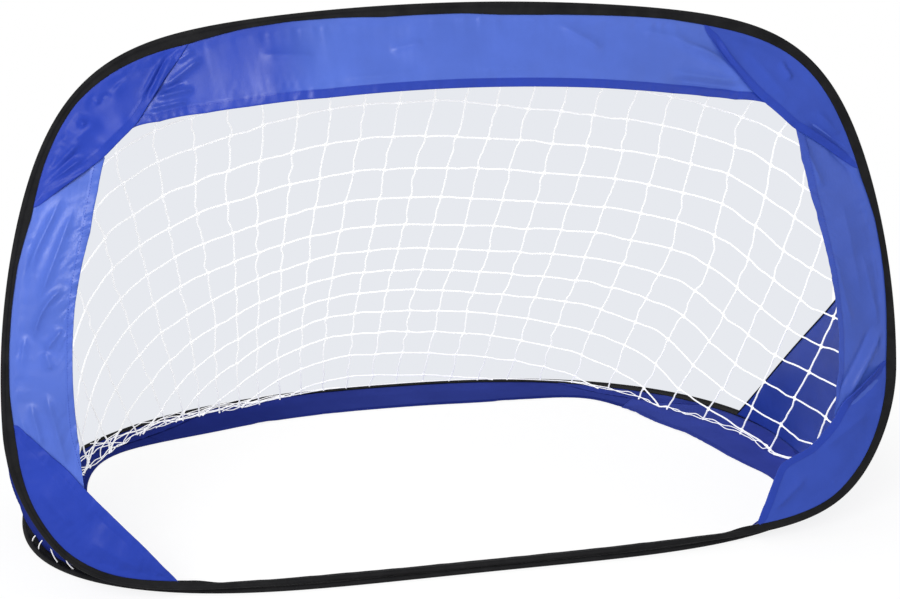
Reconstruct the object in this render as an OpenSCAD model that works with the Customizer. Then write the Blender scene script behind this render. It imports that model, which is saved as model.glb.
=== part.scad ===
// Pop-up goal net: two sprung hoops, cloth bands, a knotted net and two side gussets.
// The base hoop lies flat on the ground. The mouth hoop stands on the front of it, leans back
// and folds back down onto it about the front seam.
// The origin is on the ground, in the middle of the base. The mouth faces -Y.

/* [Mouth hoop] */
// Outer width of the mouth hoop
mouth_w = 1200; // [900:10:1500]
// Length of the mouth hoop from the front seam to its top, along its own plane
mouth_h = 740; // [560:5:900]
// Distance of its widest line from the front seam
mouth_waist = 230; // [180:5:300]
// Squareness of the lower corners
mouth_low_square = 8.7; // [4:0.1:10]
// How far the lower sides draw in, as a part of the half width
mouth_low_draw = 0.17; // [0:0.01:0.25]
// How far the bottom edge rises towards its ends, as a part of the waist distance
mouth_low_bow = 0.04; // [0:0.01:0.1]
// Squareness of the upper corners
mouth_high_square = 8.5; // [4:0.1:10]
// How far the upper sides draw in, as a part of the half width
mouth_high_draw = 0.19; // [0:0.01:0.25]
// How far the top edge drops towards its ends, as a part of the height above the waist
mouth_high_bow = 0.09; // [0:0.01:0.15]
// Lean of the open mouth behind upright, in degrees
mouth_lean = 8.5; // [4:0.5:15]

/* [Base hoop] */
// Outer width of the base hoop
base_w = 1216; // [900:8:1520]
// Depth of the base hoop from front to rear
base_d = 796; // [600:4:960]
// Distance of its widest line from the front
base_waist = 330; // [250:5:400]
// Squareness of the front corners
base_front_square = 3.9; // [3:0.1:6]
// How far the front half of the sides draws in, as a part of the half width
base_front_draw = 0.2; // [0:0.01:0.25]
// How far the front edge runs forward towards its ends, as a part of the waist distance
base_front_bow = 0.04; // [0:0.01:0.06]
// Squareness of the rear corners
base_rear_square = 2.3; // [2:0.1:6]
// How far the rear half of the sides draws in, as a part of the half width
base_rear_draw = 0.05; // [0:0.01:0.2]
// How far the rear edge runs back towards its ends, as a part of the rear depth
base_rear_bow = 0.05; // [0:0.01:0.08]

/* [Tape and wire] */
// Width of the folded edge tape
tape_w = 18; // [16:1:24]
// Thickness of the tape's own wall
tape_wall = 0.9; // [0.6:0.1:1.2]
// Diameter of the spring wire
wire_d = 3.2; // [2.4:0.1:4]
// Wall of the sleeve that joins the wire's ends
ferrule_wall = 0.8; // [0.6:0.1:1.2]
// Length of that sleeve
ferrule_l = 30; // [20:1:36]
// Radial clearance of the wire in its sleeve
ferrule_fit = 0.1; // [0.05:0.01:0.2]
// Clearance of the sleeve in the tape's channel
channel_fit = 0.2; // [0.1:0.05:0.4]
// Gap between the wire's two ends
wire_end_gap = 1; // [0.5:0.1:2]

/* [Cloth] */
// Thickness of the cloth
cloth_t = 0.8; // [0.4:0.1:1]
// Clearance round a layer of cloth
cloth_gap = 0.2; // [0.1:0.05:0.3]
// Gap between the cloth's edge and the bottom of its groove in the tape
seat_gap = 0.6; // [0.5:0.1:1.5]
// Width of the band along the top of the mouth, with its tape
top_band_w = 106; // [80:1:130]
// Width of the bands along the sides of the mouth, with their tape
side_band_w = 91; // [70:1:120]
// Width of the band along the rear of the base, with its tape
rear_band_w = 116; // [80:1:140]
// Width of the bands along the sides of the base, with their tape
base_side_band_w = 93; // [70:1:120]
// How much narrower the bands of the mouth are at its top corners
mouth_corner_trim = 20; // [0:1:30]
// How much narrower the bands of the base are at its rear corners
base_corner_trim = 40; // [0:1:50]
// How far the right band of the base is pulled in off its line, which the left one keeps
right_band_slack = 50; // [0:5:70]

/* [Net and gussets] */
// Meshes of the net across its width
net_columns = 26; // [16:1:26]
// Meshes of the net from the mouth to the ground
net_rows = 11; // [8:1:11]
// Thickness of the net's cord
net_cord_d = 3; // [2:0.1:4]
// Depth of the net's sag
net_sag = 30; // [0:1:60]
// Distance of the net from the outer edge of the tape
net_inset = 12; // [11:0.5:14]
// Hoop angle at which the net starts on each side
net_start = -42; // [-46:1:-30]
// Hoop angle at which the side gussets start, near the front seam
gusset_start = -50; // [-54:1:-44]
// Hoop angle at which the side gussets end
gusset_end = 20; // [5:1:35]
// Distance of the gusset from the outer edge of the tape
gusset_inset = 3; // [2:0.5:5]
// Diameter of the binding along the gusset's free edge
binding_d = 4; // [3:0.5:6]

/* [Hidden] */

tape_black = [0.07, 0.07, 0.08];
cloth_blue = [0.16, 0.24, 0.72];
cord_white = [0.95, 0.95, 0.95];
wire_steel = [0.6, 0.62, 0.65];

// Section of the tape: a bead round the wire, then a flat tail folded over the cloth
ferrule_d = wire_d + 2 * ferrule_fit + 2 * ferrule_wall;
channel = ferrule_d + 2 * channel_fit;
bead_w = channel + 2 * tape_wall;
tape_t = channel + 2 * tape_wall;
groove = 2 * cloth_t + 3 * cloth_gap;
tail_t = groove + 2 * tape_wall;
tail_step = (tape_t - tail_t) / 2;
wire_inset = tape_wall + channel / 2;
cloth_inset = bead_w + seat_gap;
layer_offset = (cloth_t + cloth_gap) / 2;

// Gap between the two hoops at the front seam, and between soft pieces and the tapes
seam_gap = 0.3;
soft_gap = 0.8;
hinge_y = -base_d / 2 + tape_t;
hinge_z = tape_t + seam_gap;

// Each half of a hoop: squareness, draw of the sides, bow of the end
mouth_low = [mouth_low_square, mouth_low_draw, mouth_low_bow];
mouth_high = [mouth_high_square, mouth_high_draw, mouth_high_bow];
base_front = [base_front_square, base_front_draw, -base_front_bow];
base_rear = [base_rear_square, base_rear_draw, -base_rear_bow];
mouth_hoop = [mouth_w, mouth_waist, mouth_h, mouth_low, mouth_high];
base_hoop = [base_w, base_waist, base_d, base_front, base_rear];

// Steps round a hoop. They crowd towards the four corners, where the curve is tight.
hoop_steps = 112;
corner_crowding = 0.7;
edge_steps = 16;
wire_sides = 6;
gusset_steps = 14;
tiny_angle = 0.05;

// Hoop angles where the bands and corner pieces begin and end: 0 is the right side,
// 90 the top or rear, -90 the front seam
mouth_cut = 40;
band_end_gap = 1;
mouth_foot = -42;
mouth_foot_inner = -18;
top_corner_low = 31;
top_corner_high = 56;
bottom_corner_low = -51;
bottom_corner_high = 0;
base_cut = 43;
base_foot = -38;
base_foot_inner = -20;
slack_angle = 8;
corner_spread = 26;
slack_spread = 34;
rear_corner_low = 27;
rear_corner_high = 59;
front_corner_low = -50;
front_corner_high = 5;
// Depth of the corner pieces, from the tape's outer edge to the middle of their inner edge
top_corner_depth = 90;
rear_corner_depth = 72;

// ---- Outlines -------------------------------------------------------------------------

// Angle of one step round a hoop, crowded towards the corners
function step_angle(i) =
    let (even = (i + 0.5) * 360 / hoop_steps)
    even + corner_crowding * sin(4 * even) * 180 / PI / 4;

// Point of a unit superellipse at an angle
function squircle(angle, square) =
    let (reach = pow(pow(abs(cos(angle)), square) + pow(abs(sin(angle)), square), 1 / square))
    [cos(angle) / reach, sin(angle) / reach];

// Point of a hoop's outer edge. The front seam is at y = 0.
function hoop_point(hoop, angle) =
    let (
        low = sin(angle) < 0,
        half = low ? hoop[3] : hoop[4],
        length = low ? hoop[1] : hoop[2] - hoop[1],
        p = squircle(angle, half[0])
    )
    [
        hoop[0] / 2 * p[0] * (1 - half[1] * p[1] * p[1]),
        hoop[1] + length * p[1] * (1 - half[2] * p[0] * p[0])
    ];

// Inward normal of a hoop at an angle
function hoop_normal(hoop, angle) =
    let (run = hoop_point(hoop, angle + tiny_angle) - hoop_point(hoop, angle - tiny_angle))
    [-run[1], run[0]] / norm(run);

// Point at a distance inside a hoop's outer edge
function hoop_inset(hoop, angle, inset) =
    hoop_point(hoop, angle) + inset * hoop_normal(hoop, angle);

// The whole curve at one distance inside the outer edge
function hoop_loop(hoop, inset) =
    [for (i = [0 : hoop_steps - 1]) hoop_inset(hoop, step_angle(i), inset)];

// Angles of a stretch of that curve, with both ends included
function run_angles(from, to) =
    [
        from,
        each [
            for (i = [-hoop_steps / 4 : hoop_steps * 5 / 4])
                let (angle = step_angle(i))
                if (angle > from + tiny_angle && angle < to - tiny_angle) angle
        ],
        to
    ];

function hoop_run(hoop, from, to, inset) =
    [for (angle = run_angles(from, to)) hoop_inset(hoop, angle, inset)];

// Share of a local change of width that is felt at an angle: 1 at its centre, 0 past its spread
function swell(angle, centre, spread) =
    pow(cos(90 * min(1, abs(angle - centre) / spread)), 2);

// Inner edge of a band that is narrower round a corner, on both sides of the middle line
function trimmed_run(hoop, from, to, inset, trim, corner) =
    [
        for (angle = run_angles(from, to))
            let (off_middle = abs(angle - 90))
            hoop_inset(hoop, angle, inset - trim * swell(off_middle, 90 - corner, corner_spread))
    ];

function reversed(points) = [for (i = [len(points) - 1 : -1 : 0]) points[i]];

// Curve from one point to another that passes through a third halfway
function curve_through(from, middle, to) =
    let (pull = 2 * middle - (from + to) / 2)
    [
        for (i = [1 : edge_steps - 1])
            let (t = i / edge_steps)
            (1 - t) * (1 - t) * from + 2 * t * (1 - t) * pull + t * t * to
    ];

// ---- Places ---------------------------------------------------------------------------

// Base pieces are drawn in the ground plane, from the front seam at y = 0
module on_base() {
    translate([0, -base_d / 2, tape_t / 2])
        children();
}

// Mouth pieces are drawn in their own plane, hinge line at y = 0, front towards +Z
module on_mouth() {
    translate([0, hinge_y, hinge_z])
        rotate([90 - mouth_lean, 0, 0])
            translate([0, 0, tape_t / 2])
                children();
}

module other_side() {
    mirror([1, 0, 0])
        children();
}

// Point in space of a point of the mouth's plane, at a distance behind the tape's bead
function mouth_place(p, behind) =
    [
        p[0],
        hinge_y + p[1] * sin(mouth_lean) + behind * cos(mouth_lean),
        hinge_z + p[1] * cos(mouth_lean) - behind * sin(mouth_lean)
    ];

// Point in space of a point of the base's plane, at a height above the tape's bead
function base_place(p, above) = [p[0], p[1] - base_d / 2, tape_t + above];

// ---- Hoops ----------------------------------------------------------------------------

// Flat ring between two distances inside a hoop's outer edge
module ring(hoop, from, to, thickness) {
    outer = hoop_loop(hoop, from);
    inner = hoop_loop(hoop, to);
    linear_extrude(thickness, center = true)
        polygon(
            concat(outer, inner),
            [
                [for (i = [0 : hoop_steps - 1]) i],
                [for (i = [0 : hoop_steps - 1]) hoop_steps + i]
            ]
        );
}

module tape(hoop) {
    difference() {
        union() {
            ring(hoop, 0, bead_w, tape_t);
            ring(hoop, tape_wall, tape_w, tail_t);
        }
        ring(hoop, tape_wall, tape_wall + channel, channel);
        ring(hoop, bead_w, tape_w + tape_wall, groove);
    }
}

// Round wire along a hoop, open where its ends meet in the sleeve at the far side
module spring_wire(hoop) {
    end_angle = atan(wire_end_gap / hoop[0]);
    angles = run_angles(90 + end_angle, 450 - end_angle);
    rings = len(angles);
    points = [
        for (angle = angles, side = [0 : wire_sides - 1])
            let (
                turn = side * 360 / wire_sides,
                p = hoop_inset(hoop, angle, wire_inset + wire_d / 2 * cos(turn))
            )
            [p[0], p[1], wire_d / 2 * sin(turn)]
    ];
    walls = [
        for (k = [0 : rings - 2], side = [0 : wire_sides - 1])
            let (
                next = (side + 1) % wire_sides,
                a = k * wire_sides + side,
                b = k * wire_sides + next,
                c = a + wire_sides,
                d = b + wire_sides
            )
            each [[a, c, b], [b, c, d]]
    ];
    last = (rings - 1) * wire_sides;
    caps = [
        for (side = [1 : wire_sides - 2])
            each [[0, side, side + 1], [last, last + side + 1, last + side]]
    ];
    polyhedron(points, concat(walls, caps));
}

// Straight sleeve on the wire's ends, in the middle of the two stretches that it covers
module wire_ferrule(hoop) {
    bore_d = wire_d + 2 * ferrule_fit;
    end = hoop_inset(hoop, 90, wire_inset);
    next = hoop_inset(hoop, step_angle(hoop_steps / 4), wire_inset);
    translate([0, end[1] + (next[1] - end[1]) * ferrule_l / 4 / abs(next[0]), 0])
        rotate([0, 90, 0])
            difference() {
                cylinder(d = ferrule_d, h = ferrule_l, center = true, $fn = 32);
                cylinder(d = bore_d, h = ferrule_l + 2, center = true, $fn = 32);
            }
}

// ---- Cloth ----------------------------------------------------------------------------

// Flat panel in the rear layer (-1) or the front layer (1) of the tape's groove
module panel(points, layer) {
    translate([0, 0, layer * layer_offset])
        linear_extrude(cloth_t, center = true)
            polygon(points);
}

// Panel between the tape and a curve that starts and ends at the tape
module corner_panel(hoop, from, to, depth) {
    rim = hoop_run(hoop, from, to, cloth_inset);
    middle = hoop_inset(hoop, (from + to) / 2, depth);
    panel(concat(rim, curve_through(rim[len(rim) - 1], middle, rim[0])), 1);
}

// Panel between the tape and a straight line
module chord_panel(hoop, from, to) {
    panel(hoop_run(hoop, from, to, cloth_inset), 1);
}

// Band along a hoop, up to a run of points that is its inner edge
module band(hoop, from, to, inner) {
    panel(concat(hoop_run(hoop, from, to, cloth_inset), reversed(inner)), -1);
}

// Band across the far end of a hoop, from one corner to the other
module end_band(hoop, cut, width, trim) {
    band(hoop, cut, 180 - cut, trimmed_run(hoop, cut, 180 - cut, width, trim, cut));
}

module mouth_side_band() {
    top = mouth_cut - band_end_gap;
    band(
        mouth_hoop, mouth_foot, top,
        trimmed_run(mouth_hoop, mouth_foot_inner, top, side_band_w, mouth_corner_trim, mouth_cut)
    );
}

module base_side_band(slack) {
    rear = base_cut - band_end_gap;
    inner = [
        for (angle = run_angles(base_foot_inner, rear))
            let (
                trim = (base_corner_trim - slack / 2) * swell(angle, base_cut, corner_spread),
                pulled = slack * swell(angle, slack_angle, slack_spread)
            )
            hoop_inset(base_hoop, angle, base_side_band_w - trim + pulled)
    ];
    band(base_hoop, base_foot, rear, inner);
}

// ---- Net and gussets ------------------------------------------------------------------

// Point of a taut surface from the mouth hoop (v = 0) to the base hoop (v = 1)
function taut_point(angle, v, inset, behind, above) =
    (1 - v) * mouth_place(hoop_inset(mouth_hoop, angle, inset), behind)
    + v * base_place(hoop_inset(base_hoop, angle, inset), above);

// The net's cords keep this far from the flat tail of each tape
net_clear = net_cord_d * sqrt(3) / 2 + seam_gap - tail_step;
slope = [0, base_d - mouth_h * sin(mouth_lean), -mouth_h * cos(mouth_lean)];
sag_direction = [0, slope[2], -slope[1]] / norm(slope);

// Length round the net's two edges, halved, up to each whole degree
function edge_length(angle) =
    (
        norm(hoop_point(mouth_hoop, angle + 1) - hoop_point(mouth_hoop, angle))
        + norm(hoop_point(base_hoop, angle + 1) - hoop_point(base_hoop, angle))
    ) / 2;
edge_lengths = [
    for (
        angle = net_start, run = 0;
        angle <= 180 - net_start;
        run = run + edge_length(angle), angle = angle + 1
    )
        [run, angle]
];
net_w = edge_lengths[len(edge_lengths) - 1][0];

// Hoop angle of a column of the net, so that the columns are evenly spaced
function net_angle(i) = lookup(net_w * i / net_columns, edge_lengths);

// Point of the net: taut at its edges, and sagging into the goal in the middle
function net_point(i, j) =
    let (
        angle = net_angle(i),
        v = j / net_rows
    )
    taut_point(angle, v, net_inset, net_clear, net_clear)
    + net_sag * 4 * v * (1 - v) * max(0, sin(angle)) * sag_direction;

function unit(v) = v / norm(v);

// The eight corners of the square knot where two cords cross
function knot(i, j) =
    let (
        here = net_point(i, j),
        left = max(0, i - 0.1),
        right = min(net_columns, i + 0.1),
        along = unit(net_point(right, j) - net_point(left, j)),
        down = unit(net_point(i, j + 0.1) - net_point(i, j - 0.1)),
        out = unit(cross(along, down)),
        r = net_cord_d / 2
    )
    [
        for (side = [-1, 1], corner = [[-1, -1], [1, -1], [1, 1], [-1, 1]])
            here + r * (corner[0] * along + corner[1] * down + side * out)
    ];

// Two triangles of a four-cornered face
function quad(a, b, c, d) = [[a, b, c], [a, c, d]];

// Number of a knot's corner in the net's list of points
function knot_index(i, j, corner) = 8 * (j * (net_columns + 1) + i) + corner;

// Faces of the knot at (i, j), closed where no cord leaves it
function knot_faces(i, j) =
    let (n = knot_index(i, j, 0))
    concat(
        quad(n, n + 1, n + 2, n + 3),
        quad(n + 4, n + 7, n + 6, n + 5),
        j == 0 ? quad(n, n + 4, n + 5, n + 1) : [],
        j == net_rows ? quad(n + 2, n + 6, n + 7, n + 3) : [],
        i == 0 ? quad(n + 3, n + 7, n + 4, n) : [],
        i == net_columns ? quad(n + 1, n + 5, n + 6, n + 2) : []
    );

// Faces of a cord between knots n and m: its four edges run from corners a to corners b
function cord_faces(n, m, a, b) =
    [
        for (k = [0 : 3])
            let (next = (k + 1) % 4)
            each quad(n + a[k], n + a[next], m + b[next], m + b[k])
    ];

module net() {
    points = [for (j = [0 : net_rows], i = [0 : net_columns]) each knot(i, j)];
    knots = [for (j = [0 : net_rows], i = [0 : net_columns]) each knot_faces(i, j)];
    across = [
        for (j = [0 : net_rows], i = [0 : net_columns - 1])
            each cord_faces(knot_index(i, j, 0), knot_index(i + 1, j, 0), [2, 1, 5, 6], [3, 0, 4, 7])
    ];
    downward = [
        for (j = [0 : net_rows - 1], i = [0 : net_columns])
            each cord_faces(knot_index(i, j, 0), knot_index(i, j + 1, 0), [3, 2, 6, 7], [0, 1, 5, 4])
    ];
    color(cord_white)
        polyhedron(points, concat(knots, across, downward));
}

// Thin sheet over a grid of points, thick to both sides of it
module sheet(grid, thickness) {
    columns = len(grid[0]);
    rows = len(grid);
    count = columns * rows;
    out = unit(cross(grid[0][columns - 1] - grid[0][0], grid[rows - 1][0] - grid[0][0]));
    flat_grid = [for (row = grid) each row];
    points = [for (side = [-1, 1], p = flat_grid) p + side * thickness / 2 * out];
    cells = [
        for (r = [0 : rows - 2], c = [0 : columns - 2])
            let (a = r * columns + c, b = a + 1, d = a + columns, e = d + 1)
            concat(
                quad(a, b, e, d),
                quad(count + a, count + d, count + e, count + b)
            )
    ];
    ends = [
        for (c = [0 : columns - 2])
            let (a = c, b = (rows - 1) * columns + c)
            concat(
                quad(a, count + a, count + a + 1, a + 1),
                quad(b + 1, count + b + 1, count + b, b)
            )
    ];
    sides = [
        for (r = [0 : rows - 2])
            let (a = r * columns, b = a + columns - 1)
            concat(
                quad(a + columns, count + a + columns, count + a, a),
                quad(b, count + b, count + b + columns, b + columns)
            )
    ];
    polyhedron(points, [for (group = concat(cells, ends, sides)) each group]);
}

// Side panel outside the net, from near the front seam up to its free edge
module gusset() {
    grid = [
        for (r = [0 : gusset_steps])
            let (angle = gusset_start + (gusset_end - gusset_start) * r / gusset_steps)
            [for (c = [0 : 1]) taut_point(angle, c, gusset_inset, soft_gap, soft_gap)]
    ];
    color(cloth_blue)
        sheet(grid, cloth_t);
}

// Round binding just past the gusset's free edge
module gusset_binding() {
    r = binding_d / 2;
    past = gusset_end + 0.6;
    from = taut_point(past, 0, gusset_inset + r, r + soft_gap, r + soft_gap);
    to = taut_point(past, 1, gusset_inset + r, r + soft_gap, r + soft_gap);
    run = to - from;
    color(tape_black)
        translate(from)
            rotate([0, acos(run[2] / norm(run)), atan2(run[1], run[0])])
                cylinder(r = r, h = norm(run), $fn = 16);
}

// ---- Pieces of the base ---------------------------------------------------------------

module base_spring_wire() {
    color(wire_steel)
        on_base()
            spring_wire(base_hoop);
}

module base_wire_ferrule() {
    color(wire_steel)
        on_base()
            wire_ferrule(base_hoop);
}

module base_tape() {
    color(tape_black)
        on_base()
            tape(base_hoop);
}

module base_rear_band() {
    color(cloth_blue)
        on_base()
            end_band(base_hoop, base_cut, rear_band_w, base_corner_trim);
}

module base_left_band() {
    color(cloth_blue)
        on_base()
            other_side()
                base_side_band(0);
}

module base_right_band() {
    color(cloth_blue)
        on_base()
            base_side_band(right_band_slack);
}

module base_rear_left_corner() {
    color(cloth_blue)
        on_base()
            other_side()
                corner_panel(base_hoop, rear_corner_low, rear_corner_high, rear_corner_depth);
}

module base_rear_right_corner() {
    color(cloth_blue)
        on_base()
            corner_panel(base_hoop, rear_corner_low, rear_corner_high, rear_corner_depth);
}

module base_front_left_corner() {
    color(cloth_blue)
        on_base()
            other_side()
                chord_panel(base_hoop, front_corner_low, front_corner_high);
}

module base_front_right_corner() {
    color(cloth_blue)
        on_base()
            chord_panel(base_hoop, front_corner_low, front_corner_high);
}

// ---- Pieces of the mouth --------------------------------------------------------------

module mouth_spring_wire() {
    color(wire_steel)
        on_mouth()
            spring_wire(mouth_hoop);
}

module mouth_wire_ferrule() {
    color(wire_steel)
        on_mouth()
            wire_ferrule(mouth_hoop);
}

module mouth_tape() {
    color(tape_black)
        on_mouth()
            tape(mouth_hoop);
}

module mouth_top_band() {
    color(cloth_blue)
        on_mouth()
            end_band(mouth_hoop, mouth_cut, top_band_w, mouth_corner_trim);
}

module mouth_left_band() {
    color(cloth_blue)
        on_mouth()
            other_side()
                mouth_side_band();
}

module mouth_right_band() {
    color(cloth_blue)
        on_mouth()
            mouth_side_band();
}

module mouth_top_left_corner() {
    color(cloth_blue)
        on_mouth()
            other_side()
                corner_panel(mouth_hoop, top_corner_low, top_corner_high, top_corner_depth);
}

module mouth_top_right_corner() {
    color(cloth_blue)
        on_mouth()
            corner_panel(mouth_hoop, top_corner_low, top_corner_high, top_corner_depth);
}

module mouth_bottom_left_corner() {
    color(cloth_blue)
        on_mouth()
            other_side()
                chord_panel(mouth_hoop, bottom_corner_low, bottom_corner_high);
}

module mouth_bottom_right_corner() {
    color(cloth_blue)
        on_mouth()
            chord_panel(mouth_hoop, bottom_corner_low, bottom_corner_high);
}

// ---- Side pieces ----------------------------------------------------------------------

module left_gusset() {
    other_side()
        gusset();
}

module right_gusset() {
    gusset();
}

module left_gusset_binding() {
    other_side()
        gusset_binding();
}

module right_gusset_binding() {
    gusset_binding();
}

base_spring_wire();
base_wire_ferrule();
base_tape();
base_rear_band();
base_left_band();
base_right_band();
base_rear_left_corner();
base_rear_right_corner();
base_front_left_corner();
base_front_right_corner();
mouth_spring_wire();
mouth_wire_ferrule();
mouth_tape();
mouth_top_band();
mouth_left_band();
mouth_right_band();
mouth_top_left_corner();
mouth_top_right_corner();
mouth_bottom_left_corner();
mouth_bottom_right_corner();
net();
left_gusset();
right_gusset();
left_gusset_binding();
right_gusset_binding();
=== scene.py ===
# Looks of the pop-up goal net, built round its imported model.
# Shapes are worked out in millimetres, as in the CAD source, and turned into metres when a
# mesh is made. The mouth faces -Y, the ground is z = 0 and x = 0 is the middle.
import math

import bpy
import numpy as np
from mathutils import Matrix, kdtree


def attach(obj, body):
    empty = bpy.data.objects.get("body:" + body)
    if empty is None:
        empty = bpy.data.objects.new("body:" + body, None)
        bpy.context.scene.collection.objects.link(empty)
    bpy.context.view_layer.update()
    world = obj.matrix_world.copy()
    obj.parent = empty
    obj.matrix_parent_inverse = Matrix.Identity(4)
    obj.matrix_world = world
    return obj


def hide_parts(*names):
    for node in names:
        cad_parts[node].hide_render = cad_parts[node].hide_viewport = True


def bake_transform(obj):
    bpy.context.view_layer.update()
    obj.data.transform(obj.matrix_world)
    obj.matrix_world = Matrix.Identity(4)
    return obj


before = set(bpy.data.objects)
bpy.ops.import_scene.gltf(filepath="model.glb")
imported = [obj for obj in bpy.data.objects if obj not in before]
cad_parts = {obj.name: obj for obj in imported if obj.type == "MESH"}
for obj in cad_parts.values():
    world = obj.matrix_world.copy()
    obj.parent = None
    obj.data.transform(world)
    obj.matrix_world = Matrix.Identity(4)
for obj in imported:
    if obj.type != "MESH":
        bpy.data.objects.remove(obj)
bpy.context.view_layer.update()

MM = 0.001

# ---- Sizes shared with the CAD source ----

# Each hoop: width, distance of its widest line, length, and for its low and high half the
# squareness, draw of the sides and bow of the end
MOUTH = dict(width=1200, waist=230, length=740, low=(8.7, 0.17, 0.04), high=(8.5, 0.19, 0.09))
BASE = dict(width=1216, waist=330, length=796, low=(3.9, 0.2, -0.04), high=(2.3, 0.05, -0.05))
HOOPS = {"mouth": MOUTH, "base": BASE}
LEAN_DEGREES = 8.5         # how far the mouth leans back
LEAN_SIN, LEAN_COS = math.sin(math.radians(LEAN_DEGREES)), math.cos(math.radians(LEAN_DEGREES))
BEAD_R = 3.6               # half the thickness of a tape round its wire
HINGE_Y, HINGE_Z = -390.8, 7.5
CLOTH_INSET = 7.8          # of a cloth's sewn edge, inside the hoop's outer edge
LAYER = 0.5                # corner pieces are this far in front of the middle, bands behind it

# Angles at which bands, gussets and net begin and end, and their distances inside the outer
# edge. An angle of 0 is at a hoop's right and 90 at its far end
MOUTH_CUT, BASE_CUT, BAND_GAP = 40, 43, 1
MOUTH_FOOT, MOUTH_FOOT_INNER = -42, -18
BASE_FOOT, BASE_FOOT_INNER = -38, -20
GUSSET_FROM, GUSSET_TO, GUSSET_INSET, GUSSET_LOW_INSET = -50, 20, 3, 19
NET_FROM, NET_INSET = -42, 12

# Measured in the photograph: width of a band of the mouth at an angle from straight up. For
# the left band the angle is taken to the left, and for the others to the right
TOP_HEM = (
    (-50, 68), (-45, 82), (-42, 93), (-36, 103), (-31, 106), (-25, 107), (-21, 108.5), (21, 108.5),
    (25, 109), (31, 109), (36, 106.5), (40, 101), (45, 85), (50, 68))
LEFT_HEM = (
    (51, 74), (55, 82), (60, 87), (65, 85), (70, 84), (75, 85), (82, 87), (90, 89.5), (100, 89),
    (108, 84))
RIGHT_HEM = (
    (51, 74.5), (53, 81), (55, 87), (60, 94), (65, 94), (70, 92), (80, 90), (90, 88), (100, 88),
    (108, 84))
# Visible width of a tape at a hoop's angle
MOUTH_TAPE_W = (
    (-90, 15), (-48, 11.6), (-42, 11), (-36, 12.6), (-24, 13), (-12, 14.6), (0, 16.4), (6, 13.6),
    (12, 11), (18, 9.4), (24, 9.4), (30, 15), (42, 13.6), (54, 15.6), (60, 13), (66, 14),
    (78, 17), (84, 17), (90, 14), (102, 14.6), (108, 11), (114, 9.4), (120, 11), (126, 16.6),
    (132, 14.6), (138, 10.6), (144, 11.6), (150, 14.6), (156, 10), (162, 9.4), (168, 10),
    (174, 11), (180, 15), (186, 15.6), (192, 14), (204, 10.6), (216, 9.4), (228, 11.6), (270, 15))
BASE_TAPE_W = (
    (-90, 16), (10, 16), (25, 21), (48, 21), (60, 14), (100, 12), (135, 12), (150, 9), (172, 9),
    (180, 15), (270, 16))
# Width of the base's bands at a hoop's angle; the left band's is taken from the left
REAR_WIDTH = (
    (41, 112), (43, 106), (49, 80), (54, 76), (63, 98), (73, 116), (108, 116), (127, 113),
    (137, 92), (142, 76))
LEFT_WIDTH = (
    (-38, 93), (5, 93), (15, 79), (25, 65), (30, 61), (34, 66), (38, 76), (43, 92), (53, 113))
RIGHT_WIDTH = (
    (-38, 60), (-21, 79), (-12, 110), (1, 131), (12, 141), (23, 144), (33, 139), (41, 112),
    (43, 106), (49, 80))
# Distance of the net's lower border inside the base's outer edge at an angle
NET_EDGE = (
    (-42, 12), (-12, 31), (-5.5, 58), (5, 68), (22, 88), (34, 88), (42, 60), (50, 36), (58, 15),
    (68, 9), (100, 9), (108, 24), (117, 45), (131, 41), (142, 54), (152, 64), (164, 66),
    (185, 40), (222, 12))
# Height of the base's tape and cloth over the tape's middle, at a distance inside the outer edge
BASE_TOP = ((3.6, BEAD_R), (8, 2.3), (17, 2.0), (30, 0.4))
# Inner edges of the mouth's corner pieces, in its hoop's plane
CORNER_EDGES = {
    "top_left": (
        (541, 505), (499, 534), (457, 562), (436, 582), (415, 601), (378, 654), (346, 696)),
    "top_right": (
        (543, 502), (495, 535), (447, 565), (427, 583), (406, 600), (387, 618), (356, 651),
        (327, 696)),
    "bottom_left": (
        (395, 17), (443, 77), (477, 116), (502, 146), (524, 176), (541, 194), (584, 242)),
    "bottom_right": (
        (389, 19), (413, 76), (425, 104), (470, 123), (503, 156), (520, 185), (580, 236)),
}

# ---- Sizes of the visible detail ----

CLOTH_HALF = 0.28          # half the thickness of one layer of cloth
HEM_HALF = 0.62            # half the thickness of a hem
HEM_EDGE_HALF = 0.35       # half the thickness of its folded edge
HEM_W = 12
CLOTH_STEP = {"mouth": 2.5, "base": 4.0}   # spacing of a cloth's grid
CREASE_RISE = 1.8          # a crease's height over the height that is listed for it
STITCH_HALF_W, STITCH_H = 0.45, 0.28
TAPE_STEP = 6.0            # spacing of a tape's sections
TAPE_WALL = 0.8
TAPE_NECK = 5.2            # beyond it a tape's section is stretched to the local width
TAPE_SEAM = (15.8, 1.68)   # place of the tape's stitches in its section
TAPE_LIES = math.radians(85)               # how far the mouth's tape lies back at the seam
CORD_R = 1.3
KNOT_R, KNOT_SIZE = 1.25, (2.5, 2.1, 1.1)  # radius of a knot's cord, half sizes of its loop
SLACK_R = 0.75             # of the cords bunched along the base, which lie stretched
SLACK_INSET = 9            # where those cords reach the base's rim
# Slack rows: share of the way from there to the net's lower border, seed and wander
SLACK_ROWS = (1.0, 81, 5.0), (0.97, 82, 8.0), (0.72, 83, 12.0), (0.45, 84, 12.0)
# Angles of the mouth and of the base between which a lacing cord runs, and how far it bows out
LACING = (-30.5, -17), (-32, -21.5), (-33, -29), (-37, -33)
LACING_BOW = 3
CORD_WAVE = 2.6            # how far a net cord wanders between its knots
GUSSET_ROWS, GUSSET_COLUMNS = 120, 130
GUSSET_BULGE = 8           # how far a gusset stands outside a taut surface
TRIM_R = 1.2               # radius of the binding on a gusset's free edge
SLANT = 12                 # how far the inner edges of the mouth's bands come forward
TINY_ANGLE = 0.05


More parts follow.
